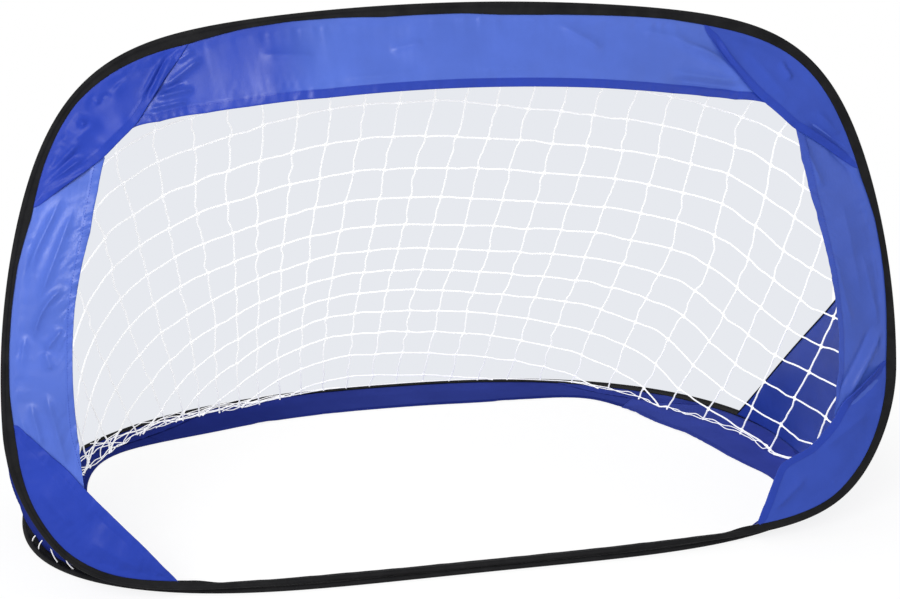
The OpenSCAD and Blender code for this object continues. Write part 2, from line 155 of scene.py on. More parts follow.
def smooth(low, high, x):
    """0 below low, 1 above high, and smooth between them."""
    t = np.clip((x - low) / (high - low), 0, 1)
    return t * t * (3 - 2 * t)


def noise(x, y, seed):
    """Smooth random field from -1 to 1 that changes over about one unit."""
    table = np.random.default_rng(seed).uniform(-1, 1, (64, 64))
    i, j = np.floor(x).astype(int), np.floor(y).astype(int)
    fx, fy = smooth(0, 1, x - i), smooth(0, 1, y - j)
    low = table[i % 64, j % 64] * (1 - fx) + table[(i + 1) % 64, j % 64] * fx
    high = table[i % 64, (j + 1) % 64] * (1 - fx) + table[(i + 1) % 64, (j + 1) % 64] * fx
    return low * (1 - fy) + high * fy


def unit(v):
    return v / np.maximum(np.linalg.norm(v, axis=-1, keepdims=True), 1e-9)


def profile(x, pairs):
    """Value at x of a run of (x, value) pairs."""
    return np.interp(x, *zip(*pairs))


def distances(path):
    """Distance of each point of a path from its start, along the path."""
    return np.concatenate([[0], np.cumsum(np.linalg.norm(np.diff(path, axis=0), axis=1))])


def rows_at(x, places, rows):
    """Rows of numbers at x, between the rows given at some places."""
    return np.stack([np.interp(x, places, column) for column in rows.T], 1)


# ---- Hoops ----

def hoop_point(hoop, angle):
    """Points of a hoop's outer edge in its own plane, front seam at y = 0."""
    a = np.radians(angle)
    low = np.sin(a) < 0
    square, draw, bow = (np.where(low, x, y) for x, y in zip(hoop["low"], hoop["high"]))
    length = np.where(low, hoop["waist"], hoop["length"] - hoop["waist"])
    c, s = np.cos(a), np.sin(a)
    reach = (abs(c) ** square + abs(s) ** square) ** (1 / square)
    c, s = c / reach, s / reach
    x = hoop["width"] / 2 * c * (1 - draw * s * s)
    return np.stack([x, hoop["waist"] + length * s * (1 - bow * c * c)], -1)


def hoop_inset(hoop, angle, inset):
    """Points at a distance inside a hoop's outer edge."""
    angle, inset = np.broadcast_arrays(np.asarray(angle, float), np.asarray(inset, float))
    run = unit(hoop_point(hoop, angle + TINY_ANGLE) - hoop_point(hoop, angle - TINY_ANGLE))
    return hoop_point(hoop, angle) + inset[..., None] * np.stack([-run[..., 1], run[..., 0]], -1)


def even_angles(hoop, start, end, step):
    """Hoop angles from start to end, evenly spaced along the curve, and their arc lengths."""
    fine = np.linspace(start, end, 1500)
    run = distances(hoop_point(hoop, fine))
    at = np.linspace(0, run[-1], int(run[-1] / step) + 2)
    return np.interp(at, run, fine), at


class HoopMap:
    """Distance along and inside a hoop's outer edge, for any point of its plane."""

    def __init__(self, hoop):
        self.middle = np.array([0, hoop["length"] / 2])
        fine, self.run = even_angles(hoop, -90, 270, 2)
        self.rim = hoop_point(hoop, fine)
        self.tree = kdtree.KDTree(len(self.rim))
        for i, p in enumerate(self.rim):
            self.tree.insert((*p, 0), i)
        self.tree.balance()

    def nearest(self, p):
        """Numbers of the nearest points of the outer edge, and how far they are."""
        found = [self.tree.find((x, y, 0))[1:] for x, y in p.reshape(-1, 2)]
        return (np.array(values).reshape(p.shape[:-1]) for values in zip(*found))

    def __call__(self, p):
        number, distance = self.nearest(p)
        return self.run[number], distance

    def inside(self, p):
        """Distance inside the outer edge, below zero outside it."""
        number, distance = self.nearest(p)
        from_middle, rim = (np.linalg.norm(q - self.middle, axis=-1) for q in (p, self.rim[number]))
        return np.where(from_middle > rim, -distance, distance)


def in_space(body, p, out):
    """Points in space of points of a hoop's plane, at a distance in front of or above it."""
    x, y, out = np.broadcast_arrays(p[..., 0], p[..., 1], out + BEAD_R)
    if body == "base":
        return np.stack([x, y - BASE["length"] / 2, out], -1)
    return np.stack([
        x,
        HINGE_Y + y * LEAN_SIN - out * LEAN_COS,
        HINGE_Z + y * LEAN_COS + out * LEAN_SIN,
    ], -1)


# ---- Meshes ----

def add_object(name, data):
    thing = bpy.data.objects.new(name, data)
    bpy.context.scene.collection.objects.link(thing)
    return thing


def make_piece(name, points, faces, material, uv=None, smooth_faces=True):
    """Object from points in millimetres and lists of corners, with UVs for each point."""
    mesh = bpy.data.meshes.new(name)
    mesh.from_pydata((np.asarray(points) * MM).tolist(), [], faces)
    mesh.validate()
    mesh.update()
    if uv is not None:
        layer = mesh.uv_layers.new(name="cloth")
        corner = np.empty(len(mesh.loops), int)
        mesh.loops.foreach_get("vertex_index", corner)
        layer.data.foreach_set("uv", (np.asarray(uv)[corner] * MM).astype(np.float32).ravel())
    mesh.polygons.foreach_set("use_smooth", [smooth_faces] * len(mesh.polygons))
    mesh.materials.append(material)
    return add_object(name, mesh)


def mark(piece, name, values):
    """Give every point of a piece a value that its material reads."""
    attribute = piece.data.attributes.new(name, "FLOAT", "POINT")
    values = np.broadcast_to(values, len(piece.data.vertices)).astype(np.float32)
    attribute.data.foreach_set("value", values)


def grid_faces(rows, columns, start=0, close_rows=False, close_columns=False, flip=False):
    """Four-cornered faces of a grid of points, joined end to end where it is closed."""
    r = np.arange(rows if close_rows else rows - 1)
    c = np.arange(columns if close_columns else columns - 1)
    r, c = (a.ravel() for a in np.meshgrid(r, c, indexing="ij"))
    r2, c2 = (r + 1) % rows, (c + 1) % columns
    quads = np.stack([r * columns + c, r * columns + c2, r2 * columns + c2, r2 * columns + c], 1)
    return (quads[:, ::-1] if flip else quads) + start


def slab(points, normals, half):
    """Points and faces of a closed sheet round a grid of points."""
    rows, columns = points.shape[:2]
    count = rows * columns
    shift = normals * half[..., None]
    both = np.concatenate([(points + shift).reshape(-1, 3), (points - shift).reshape(-1, 3)])
    index = np.arange(count).reshape(rows, columns)
    edge = np.concatenate([index[0, :-1], index[:-1, -1], index[-1, :0:-1], index[:0:-1, 0]])
    after = np.roll(edge, -1)
    rim = np.stack([edge, edge + count, after + count, after], 1)
    faces = [grid_faces(rows, columns), grid_faces(rows, columns, count, flip=True), rim]
    return both, np.concatenate(faces)


def grid_normals(points):
    return unit(np.cross(np.gradient(points, axis=0), np.gradient(points, axis=1)))


def untwisted(run):
    """Directions across a path that follow its turns without twisting round it."""
    side = np.empty_like(run)
    v = np.eye(3)[abs(run[0]).argmin()]
    for i, r in enumerate(run):
        v = v - r * (v @ r)
        v = v / np.linalg.norm(v)
        side[i] = v
    return side


def rings(path, run, side, radius, sides):
    """Points on circles round a path, from its directions along and to one side."""
    turn = np.radians(np.arange(sides) * 360 / sides)[None, :, None]
    up = np.cross(side, run)
    return path[:, None] + radius * (np.cos(turn) * side[:, None] + np.sin(turn) * up[:, None])


def tubes(paths, radius, sides):
    """Points, faces and UVs of closed tubes along several paths."""
    all_points, all_faces, all_uv, start = [], [], [], 0
    around = math.pi * radius * (1 - abs(1 - 2 * np.arange(sides) / sides))
    for path in paths:
        run = unit(np.gradient(path, axis=0))
        uv = np.stack(np.meshgrid(distances(path), around, indexing="ij"), -1)
        last = start + (len(path) - 1) * sides
        all_faces += grid_faces(len(path), sides, start, close_columns=True).tolist()
        all_faces += [list(range(start, start + sides)), list(range(last, last + sides))[::-1]]
        all_points.append(rings(path, run, untwisted(run), radius, sides).reshape(-1, 3))
        all_uv.append(uv.reshape(-1, 2))
        start = last + sides
    return np.concatenate(all_points), all_faces, np.concatenate(all_uv)


def thread(path, normal, pitch, length):
    """Points and faces of a row of stitches that lie on a surface along a path."""
    run = distances(path)
    at = np.arange(pitch / 2, run[-1] - pitch / 2, pitch)
    centre, up = rows_at(at, run, path), unit(rows_at(at, run, normal))
    along = unit(rows_at(at + 0.5, run, path) - rows_at(at - 0.5, run, path))
    side = np.cross(up, along)
    corners = [-along * length / 2 - 0.1 * up, along * length / 2 - 0.1 * up,
               -side * STITCH_HALF_W, side * STITCH_HALF_W, up * STITCH_H, -up * 0.2]
    points = np.stack([centre + c for c in corners], 1).reshape(-1, 3)
    one = np.array([[0, 4, 2], [0, 3, 4], [0, 2, 5], [0, 5, 3],
                    [1, 2, 4], [1, 4, 3], [1, 5, 2], [1, 3, 5]])
    faces = (np.arange(len(at))[:, None, None] * 6 + one).reshape(-1, 3)
    return points, faces


def join_parts(parts):
    """One list of points and one of faces from several."""
    points, faces, start = [], [], 0
    for p, f in parts:
        points.append(p)
        faces += [[i + start for i in face] for face in (f if isinstance(f, list) else f.tolist())]
        start += len(p)
    return np.concatenate(points), faces


# ---- Materials ----

class Graph:
    """Shader nodes of a material or world. An input is a number, a colour or a node's output."""

    def __init__(self, owner):
        owner.use_nodes = True
        self.owner, self.nodes, self.links = owner, owner.node_tree.nodes, owner.node_tree.links

    def set(self, node, inputs):
        for key, value in inputs.items():
            if isinstance(value, bpy.types.NodeSocket):
                self.links.new(value, node.inputs[key])
            else:
                node.inputs[key].default_value = value

    def add(self, kind, inputs=None, output=0, **properties):
        """Output of a new node; its properties are set before its inputs."""
        node = self.nodes.new("ShaderNode" + kind)
        for key, value in properties.items():
            setattr(node, key, value)
        self.set(node, inputs or {})
        return node.outputs[output]

    def calculate(self, operation, a, b):
        return self.add("Math", {0: a, 1: b}, operation=operation)

    def attribute(self, name):
        """Value that a piece's points carry."""
        return self.add("Attribute", output="Fac", attribute_name=name)

    def ramp(self, value, *stops):
        """Colours over a value, from two stops of a position and a colour."""
        colours = self.add("ValToRGB", {0: value})
        for element, (position, colour) in zip(colours.node.color_ramp.elements, stops):
            element.position, element.color = position, (*colour, 1)
        return colours

    def noise(self, scale, detail, roughness, stretch=None):
        """Noise over the piece, stretched along x, y or z where that is given."""
        place = self.add("TexCoord", output="Object")
        if stretch:
            place = self.add("Mapping", {"Scale": stretch, "Vector": place})
        return self.add("TexNoise", {
            "Scale": scale, "Detail": detail, "Roughness": roughness, "Vector": place})

    def wave(self, scale, direction):
        """Even waves over the piece's UVs."""
        place = self.add("TexCoord", output="UV")
        return self.add("TexWave", {"Scale": scale, "Vector": place}, 1, bands_direction=direction)

    def bump(self, height, distance, strength, under=None):
        """Bump on the shader, over another bump where that is given."""
        inputs = {"Distance": distance, "Strength": strength, "Height": height}
        normal = self.add("Bump", {**inputs, "Normal": under} if under else inputs)
        self.set(self.shader, {"Normal": normal})
        return normal


def principled(name, colour, roughness, specular=0.5, metallic=0.0):
    """Nodes of a new material with a Principled shader."""
    graph = Graph(bpy.data.materials.new(name))
    graph.owner.diffuse_color = (*colour, 1)
    graph.shader = graph.nodes["Principled BSDF"]
    graph.set(graph.shader, {
        "Base Color": (*colour, 1), "Roughness": roughness, "Specular IOR Level": specular,
        "Metallic": metallic})
    return graph


def times(colour, share):
    return tuple(c * share for c in colour)


def cloth_material(name, single, double, specular, roughness):
    """Blue nylon taffeta: fine plain weave and light handling creases. Light comes through a single
    layer, so hems and corner pieces, which lie double, are darker. The mark that picks the darker
    colour also paints shade on some pieces."""
    graph = principled(name, single, roughness, specular)
    patches = graph.noise(9.0, 4.0, 0.6)
    thin, thick = (graph.ramp(patches, (0.3, times(colour, 0.9)), (0.7, times(colour, 1.08)))
                   for colour in (single, double))
    layers = graph.attribute("layers")
    colour = graph.add("Mix", {0: layers, 6: thin, 7: thick}, 2, data_type="RGBA")
    rough = graph.add("MapRange", {"Value": graph.noise(60.0, 3.0, 0.6),
                                   "To Min": roughness - 0.06, "To Max": roughness + 0.08})
    graph.set(graph.shader, {"Base Color": colour, "Roughness": rough})
    weave = graph.calculate("ADD", graph.wave(260.0, "X"), graph.wave(260.0, "Y"))
    creases = graph.bump(graph.noise(55.0, 5.0, 0.62), 0.0005, 0.35)
    graph.bump(weave, 0.00006, 0.4, creases)
    return graph.owner


def tape_material():
    """Black polyester binding: cross ribs, dull, a little dusty on its high places."""
    graph = principled("tape_black", (0.009, 0.009, 0.010), 0.75, 0.12)
    dust = graph.noise(34.0, 5.0, 0.65)
    colour = graph.ramp(dust, (0.35, (0.006, 0.006, 0.007)), (0.75, (0.015, 0.015, 0.016)))
    graph.set(graph.shader, {"Base Color": colour})
    weave = graph.calculate("ADD", graph.wave(170.0, "X"), graph.wave(230.0, "Y"))
    graph.bump(weave, 0.00012, 0.6, graph.bump(dust, 0.0006, 0.4))
    return graph.owner


def cord_material():
    """White braided polyester cord, a little soiled. Its slight glow is painted light, which makes
    it read white."""
    graph = principled("cord_white", (0.92, 0.92, 0.91), 0.7, 0.3)
    colour = graph.ramp(graph.noise(22.0, 4.0, 0.6),
                        (0.3, (0.90, 0.90, 0.89)), (0.65, (0.95, 0.95, 0.95)))
    # Painted light: the emission makes the cord glow a little
    graph.set(graph.shader, {
        "Base Color": colour, "Emission Color": (1, 1, 1, 1), "Emission Strength": 0.42})
    graph.bump(graph.wave(110.0, "DIAGONAL"), 0.00008, 0.12)
    return graph.owner


def wire_material():
    """Drawn spring steel with fine lengthwise marks."""
    graph = principled("wire_steel", (0.55, 0.56, 0.58), 0.32, metallic=1.0)
    marks = graph.noise(40.0, 6.0, 0.7, stretch=(0.3, 6, 6))
    colour = graph.ramp(marks, (0.3, (0.42, 0.43, 0.45)), (0.7, (0.62, 0.63, 0.65)))
    graph.set(graph.shader, {"Base Color": colour})
    graph.bump(marks, 0.0002, 0.3)
    return graph.owner


# Colours of one layer and of two, specular level and roughness
CLOTH = cloth_material("cloth_blue", (0.076, 0.144, 0.57), (0.018, 0.049, 0.39), 0.27, 0.32)
STRIP_CLOTH = cloth_material(
    "cloth_blue_double", (0.078, 0.145, 0.57), (0.021, 0.052, 0.40), 0.13, 0.36)
# Darker, dull copy of the blue cloth for the base's bands and the gussets' outsides: its darker
# colours are painted shade
SHADED_CLOTH = cloth_material(
    "cloth_blue_painted_shade", (0.060, 0.090, 0.45), (0.023, 0.038, 0.255), 0.0, 0.6)
TAPE = tape_material()
CORD = cord_material()
WIRE = wire_material()
for node in ("base_spring_wire", "base_wire_ferrule", "mouth_spring_wire", "mouth_wire_ferrule"):
    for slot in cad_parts[node].material_slots:
        slot.material = WIRE

# ---- Tapes ----

# One side of the tape's section, from the tip of its tail round to its outer edge:
# distance inside the outer edge, and height over the middle
TAPE_PROFILE = np.array([
    (18.0, 1.5), (17.2, 1.85), (15.8, 1.68), (14.6, 1.85), (11.5, 1.9), (8.2, 2.0),
    (6.6, 2.5), (5.2, 3.25), (3.6, 3.6), (2.0, 3.22), (0.8, 2.25), (0.15, 1.1),
])


def tape_section():
    """Closed section of the folded tape: its outer face, then its inner face."""
    outer = np.concatenate([TAPE_PROFILE, [(0, 0)], TAPE_PROFILE[::-1] * (1, -1)])
    run = unit(np.gradient(outer, axis=0))
    inner = outer + TAPE_WALL * np.stack([-run[:, 1], run[:, 0]], 1)
    return np.concatenate([outer, inner[::-1]])


def tape_width(body, angle):
    return profile(angle, MOUTH_TAPE_W if body == "mouth" else BASE_TAPE_W)


def lying(body, angle):
    """1 along the front seam, where no cloth holds the mouth's tape up and its tail lies back."""
    return smooth(-39.5, -34.5, -abs(angle + 90 - 360 * (angle > 90))) * (body == "mouth")


def on_tape(body, angle, inset, out):
    """Points in space of points of a tape's section, with its tail at its local width."""
    stretch = (tape_width(body, angle) - TAPE_NECK) / (TAPE_PROFILE[0, 0] - TAPE_NECK)
    inset = np.where(inset > TAPE_NECK, TAPE_NECK + (inset - TAPE_NECK) * stretch, inset)
    lean = TAPE_LIES * lying(body, angle)
    tail = inset - BEAD_R
    inset = BEAD_R + tail * np.cos(lean) + out * np.sin(lean)
    return in_space(body, hoop_inset(HOOPS[body], angle, inset),
                    out * np.cos(lean) - tail * np.sin(lean))


def make_tape(body, seed):
    """Folded tape round a hoop's wire, and the stitches along its tail."""
    angles, along = (a[:-1] for a in even_angles(HOOPS[body], -90, 270, TAPE_STEP))
    section = tape_section()
    tail = smooth(6, 16, section[:, 0])
    wander = 0.6 * noise(along / 60, 0, seed)[:, None]
    ripple = 0.35 * noise(along / 16, 0, seed + 1)[:, None]
    points = on_tape(body, angles[:, None], section[:, 0] + wander * tail,
                     section[:, 1] + ripple * tail)
    uv = np.stack(np.broadcast_arrays(along[:, None], distances(section)), -1)
    faces = grid_faces(*points.shape[:2], close_rows=True, close_columns=True)
    piece = make_piece(body + "_edge_tape", points.reshape(-1, 3), faces.tolist(), TAPE,
                       uv.reshape(-1, 2))
    if body == "mouth":
        # The tail along the front seam is sewn to the base's tape; the held share is unused and the
        # tape joins no body
        stays = lying(body, angles)[:, None] * smooth(4, 9, section[:, 0])
        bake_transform(piece)
    else:
        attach(piece, body)
    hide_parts(body + "_tape")
    # Lock stitches where the tail stands, on the faces that can be seen
    held = lying(body, angles) == 0
    angles, wander, ripple = angles[held], wander[held, 0], ripple[held, 0]
    inset, out = TAPE_SEAM
    rows = []
    for side in ((1, -1) if body == "mouth" else (1,)):
        path, above = (on_tape(body, angles, inset + wander, side * height + ripple)
                       for height in (out, 5.0))
        rows.append(thread(path, unit(above - path), 4.0, 3.0))
    return piece, rows


# ---- Cloth ----

MOUTH_MAP = HoopMap(MOUTH)
BASE_MAP = HoopMap(BASE)


def folds(p, lines):
    """Height of creases, each given as x0, y0, x1, y1, height, half width and any bend."""
    total = np.zeros(p.shape[:-1])
    for x0, y0, x1, y1, height, width, *bend in lines:
        run = np.array([x1 - x0, y1 - y0], float)
        length = np.linalg.norm(run)
        run /= length
        from_start = p - (x0, y0)
        t = from_start @ run / length
        off = from_start @ np.array([run[1], -run[0]]) - sum(bend) * 4 * t * (1 - t)
        ends = smooth(-0.02, 0.25, t) * (1 - smooth(0.75, 1.02, t))
        total += CREASE_RISE * height * ends * np.exp(-abs(off / width) ** 1.2)
    return total


# Creases of the mouth's bands
MOUTH_FOLDS = [
    # Left side
    (-509, 518, -566, 413, 3.0, 6), (-496, 503, -546, 390, 2.8, 6),
    (-512, 408, -554, 343, 3.2, 5, 9), (-518, 356, -542, 330, 3.0, 5),
    (-542, 330, -536, 304, 2.0, 5), (-563, 351, -579, 293, 2.0, 6),
    (-564, 266, -553, 205, 2.6, 5), (-545, 278, -526, 182, 3.0, 6),
    (-586, 273, -569, 214, 2.0, 5),
    # Top, at its left end
    (-379, 645, -330, 681, 2.2, 4), (-391, 633, -342, 643, 2.4, 4),
    (-400, 619, -348, 629, 2.0, 3.5), (-362, 676, -339, 690, 1.8, 3.5),
    (-384, 640, -351, 653, -1.8, 3),
    # Top, middle and right end
    (-261, 681, -189, 678, 1.4, 8), (-97, 682, -51, 691, 1.6, 5),
    (-160, 647, -57, 654, 1.2, 8), (8, 654, 101, 654, 1.2, 9),
    (125, 710, 186, 674, 2.0, 6), (237, 698, 306, 683, 1.6, 6),
    (281, 687, 353, 655, 2.6, 5), (298, 679, 387, 617, 2.2, 5, -9),
    (269, 633, 387, 617, -2.4, 5), (275, 643, 378, 626, 2.4, 5),
    # Right side
    (498, 534, 553, 485, -2.0, 6), (460, 554, 491, 477, 2.4, 7),
    (582, 284, 527, 187, 2.6, 5), (564, 291, 512, 191, -2.2, 5),
    (518, 462, 546, 323, 1.4, 12), (547, 392, 576, 279, 1.6, 10),
    (502, 395, 531, 282, 1.5, 8),
]


def mid_band(p):
    """1 beside the middle of the mouth's sides and top, and 0 towards its corners."""
    x, y = abs(p[..., 0]), p[..., 1]
    return np.maximum(smooth(200, 300, y) * (1 - smooth(440, 540, y)), 1 - smooth(200, 370, x))


def puckers(along, inside, pitch, strength, seed):
    """Height of the gathers beside a tape."""
    fade = np.exp(-np.maximum(inside - 18, 0) / 13)
    return strength * (noise(along / pitch, 0, seed) * fade) * smooth(17, 21, inside)


def mouth_height(p):
    """How far the mouth's bands stand in front of the tape's middle."""
    along, inside = MOUTH_MAP(p)
    free = smooth(17, 30, inside)
    strength = 0.9 + 0.8 * noise(along / 70, 0, 12)
    broad = 2.2 * noise(along / 90, inside / 60, 13) + 0.9 * noise(along / 28, inside / 45, 14)
    slant = SLANT * smooth(15, 100, inside) * mid_band(p)
    return (puckers(along, inside, 7, strength, 11)
            + free * (broad + slant + folds(p, MOUTH_FOLDS)))


def base_height(p):
    """How far the base's bands stand above the tape's middle: they sink to the ground."""
    along, inside = BASE_MAP(p)
    free = smooth(18, 55, inside)
    lift = np.maximum(0, noise(along / 60, inside / 70, 22)) ** 1.5
    return (puckers(along, inside, 8, 0.9, 21) - 2.7 * free
            + 2.5 * free * lift * smooth(60, 110, inside))


BAND_HEIGHT = {"mouth": mouth_height, "base": base_height}


def hem_grid(rim, inner, step):
    """Grid from the rim to the inner edge, with close rows in the hem, and its first hem row."""
    width = np.linalg.norm(inner - rim, axis=1)
    hem = np.minimum(HEM_W, 0.4 * width)[:, None]
    start = inner + (rim - inner) / np.maximum(width, 1e-6)[:, None] * hem
    count = max(6, int(width.max() / step))
    body = np.linspace(0, 1, count)[None, :, None]
    part = np.array([0.07, 0.2, 0.45, 0.7, 0.9, 1.0])[None, :, None]
    grid = np.concatenate([
        rim[:, None] + (start - rim)[:, None] * body,
        start[:, None] + (inner - start)[:, None] * part,
    ], axis=1)
    return grid, count


def flat_size(rim, inner):
    """Width, length and area in metres of a cloth between two runs of points."""
    x, y = np.concatenate([rim, inner[::-1]]).T
    area = abs((x * np.roll(y, -1) - y * np.roll(x, -1)).sum()) / 2 * MM * MM
    length = max(np.linalg.norm(np.diff(run, axis=0), axis=1).sum() for run in (rim, inner)) * MM
    width = max(np.linalg.norm(rim - inner, axis=1).max() * MM, area / length)
    return (width, length), min(area, width * length)


def make_cloth(name, node, body, rim, inner, height, layer, left, layers=0.0, hem=1.0,
               crinkle=0.8, seed=1, material=CLOTH):
    """Sheet of cloth between two runs of points of a hoop's plane, hemmed on its inner edge, and
    its stitches. A left piece is given as for the right. The layers are one value or a function
    of place, and are darker where they come nearer to 1: they mark cloth that lies double, and
    painted shade."""
    if left:
        rim, inner = rim * (-1, 1), inner * (-1, 1)
    grid, hem_row = hem_grid(rim, inner, CLOTH_STEP[body])
    out = height(grid)
    length = distances(inner)
    to_edge = np.linalg.norm(grid - grid[:, -1:], axis=-1)
    gather = (0.7 * noise(length[:, None] / 9 + 0 * to_edge, to_edge / 14, seed + 40)
              + 0.6 * noise(length[:, None] / 5 + to_edge / 20, to_edge / 10, seed + 45))
    strength = 1 + 0.7 * noise(length / 60, 0, seed + 50)[:, None]
    out = out + crinkle * gather * strength * np.exp(-(to_edge / 16))
    if body == "base":
        # It lies on the ground and not in it
        out = np.maximum(out, HEM_HALF + 0.1 - BEAD_R - layer)
    points = np.concatenate([grid, out[..., None]], -1)
    normals = grid_normals(points)
    normals *= np.sign(normals[..., 2:].mean())
    half = np.full(grid.shape[:-1], CLOTH_HALF)
    half[:, hem_row:-1] = HEM_HALF
    half[:, -1] = HEM_EDGE_HALF
    points[..., 2] += layer
    both, faces = slab(points, normals, half)
    across = np.zeros(grid.shape[:-1])
    across[:, 1:] = np.linalg.norm(np.diff(grid, axis=1), axis=-1).cumsum(axis=1)
    uv = np.stack(np.broadcast_arrays(length[:, None], across), -1).reshape(-1, 2)
    # The base's bands take the dull blue, whose darker colours are painted shade
    piece = make_piece(name, in_space(body, both[:, :2], both[:, 2]), faces.tolist(),
                       material if body == "mouth" else SHADED_CLOTH, np.concatenate([uv, uv]))
    dark = layers(grid) if callable(layers) else np.full(grid.shape[:-1], layers)
    dark[:, hem_row:] = np.maximum(dark[:, hem_row:], hem)
    mark(piece, "layers", np.tile(dark.ravel(), 2))
    flat, area = flat_size(rim, inner)
    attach(piece, body)
    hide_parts(node)
    # Stitches just inside the hem's upper edge
    at = hem_row + 1
    path = points[:, at] + normals[:, at] * HEM_HALF
    lifted = path + normals[:, at]
    path, lifted = (in_space(body, q[:, :2], q[:, 2]) for q in (path, lifted))
    return piece, thread(path, unit(lifted - path), 3.6, 2.7)


def band(body, place, start, end, inner_start, width, left=False, **more):
    """Band along a hoop from one angle to another; width gives its inner edge at an angle."""
    hoop = HOOPS[body]
    angles, _ = even_angles(hoop, start, end, CLOTH_STEP[body])
    t = (angles - start) / (end - start)
    inner_angles = inner_start + t * (end - inner_start)
    rim = hoop_inset(hoop, angles, CLOTH_INSET)
    inner = hoop_inset(hoop, inner_angles, width(inner_angles))
    return make_cloth(f"{body}_{place}_cloth", f"{body}_{place}_band", body, rim, inner,
                      BAND_HEIGHT[body], -LAYER, left, **more)


def hem_profile(pairs):
    """Width at a hoop's angle from pairs whose angle is taken from straight up."""
    return lambda a: profile(90 - a, pairs)


def rounded(pairs):
    """Width at an angle from (angle, width) pairs, with their corners rounded off."""
    return lambda a: sum(profile(a + turn, pairs) for turn in (-4, -2, 0, 2, 4)) / 5


def through(points, t):
    """Smooth run through points, at shares t of its length."""
    points = np.array(points, float)
    run = distances(points)
    at = np.linspace(0, run[-1], 201)
    fine = rows_at(at, run, points)
    for _ in range(30):
        fine[1:-1] = (fine[:-2] + 2 * fine[1:-1] + fine[2:]) / 4
    return rows_at(t * run[-1], at, fine)


def corner(body, place, start, end, left, depth=None, **more):
    """Corner piece over the bands. At the mouth its inner edge is measured, and at the base it
    curves through a point at a depth."""
    hoop = HOOPS[body]
    angles, run = even_angles(hoop, start, end, CLOTH_STEP[body])
    t = run / run[-1]
    rim = hoop_inset(hoop, angles, CLOTH_INSET)
    first, last = (hoop_inset(hoop, angle, 10) for angle in (start, end))
    if body == "mouth":
        inner = through([first, *CORNER_EDGES[place], last], t)
        height = over_mouth(CORNER_FOLDS[place])
    else:
        pull = 2 * hoop_inset(hoop, (start + end) / 2, depth) - (first + last) / 2
        t = t[:, None]
        inner = (1 - t) ** 2 * first + 2 * t * (1 - t) * pull + t * t * last
        height = over_base
    node = f"{body}_{place}_corner"
    return make_cloth(node + "_cloth", node, body, rim, inner, height, LAYER, left,
                      material=STRIP_CLOTH, **more)


# Creases of the mouth's corner pieces
CORNER_FOLDS = {
    "top_left": [
        (-359, 695, -399, 623, 2.2, 2.6), (-366, 695, -406, 626, -2.0, 2.6),
        (-373, 691, -408, 631, 2.0, 2.6), (-383, 684, -444, 636, 2.8, 5, 6),
        (-396, 679, -446, 645, -2.0, 4), (-441, 640, -476, 626, -2.2, 5),
        (-470, 643, -457, 628, 5.4, 4), (-474, 637, -466, 634, -5.0, 3),
        (-490, 615, -475, 602, 5.2, 4), (-492, 609, -483, 606, -4.4, 3),
        (-535, 537, -481, 585, 2.4, 4), (-538, 526, -475, 567, 2.2, 3.5),
        (-539, 516, -466, 554, 2.2, 3.2), (-537, 531, -484, 573, -1.6, 3),
        (-508, 574, -458, 609, 1.6, 8), (-465, 572, -422, 612, 1.5, 9),
    ],
    "top_right": [
        (326, 695, 403, 602, 2.6, 4, 7), (333, 696, 412, 601, -2.2, 4, 7),
        (343, 693, 418, 596, 2.2, 5, 7), (441, 660, 445, 640, -3.2, 3),
        (433, 653, 448, 626, 3.2, 4), (464, 645, 468, 628, -3.0, 3),
        (473, 631, 483, 615, 2.4, 4), (458, 570, 536, 518, 2.6, 4),
        (466, 575, 536, 527, -2.0, 4), (484, 585, 533, 535, 2.0, 6),
        (507, 600, 536, 554, -2.0, 6), (383, 668, 446, 600, 1.6, 10),
    ],
    "bottom_left": [
        (-547, 101, -534, 87, -5.4, 4), (-554, 106, -541, 82, 4.2, 4),
        (-535, 99, -524, 80, 2.4, 5), (-560, 152, -525, 105, 2.2, 7),
        (-569, 206, -502, 111, 1.4, 12), (-504, 85, -433, 33, 1.4, 10),
        (-513, 131, -432, 52, -1.2, 9),
    ],
    "bottom_right": [
        (518, 182, 576, 232, 2.4, 5), (524, 171, 585, 220, -2.2, 5),
        (514, 75, 523, 57, -3.0, 3.5), (502, 73, 517, 55, 2.4, 4),
        (413, 36, 464, 83, 2.2, 7), (485, 117, 560, 168, 1.6, 9),
        (439, 22, 499, 45, -1.4, 7),
    ],
}


def over_mouth(lines):
    """Height of a corner piece that lies in front of the mouth's bands."""
    def height(p):
        _, inside = MOUTH_MAP(p)
        return mouth_height(p) + smooth(18, 40, inside) * (1.2 + folds(p, lines))
    return height


def over_base(p):
    """Height of a corner piece that lies on the base's bands."""
    _, inside = BASE_MAP(p)
    return base_height(p) + 0.6 * smooth(18, 40, inside)


def top_painted_shade(p):
    """Painted shade, darker towards the top band's left end, where it is gathered."""
    return 0.9 * (1 - smooth(-260, -170, p[..., 0]))


def rear_painted_shade(p):
    """Painted shade, darkest at the rear band's left, in the net's slack part."""
    return 1 - 0.5 * smooth(-300, 50, p[..., 0])


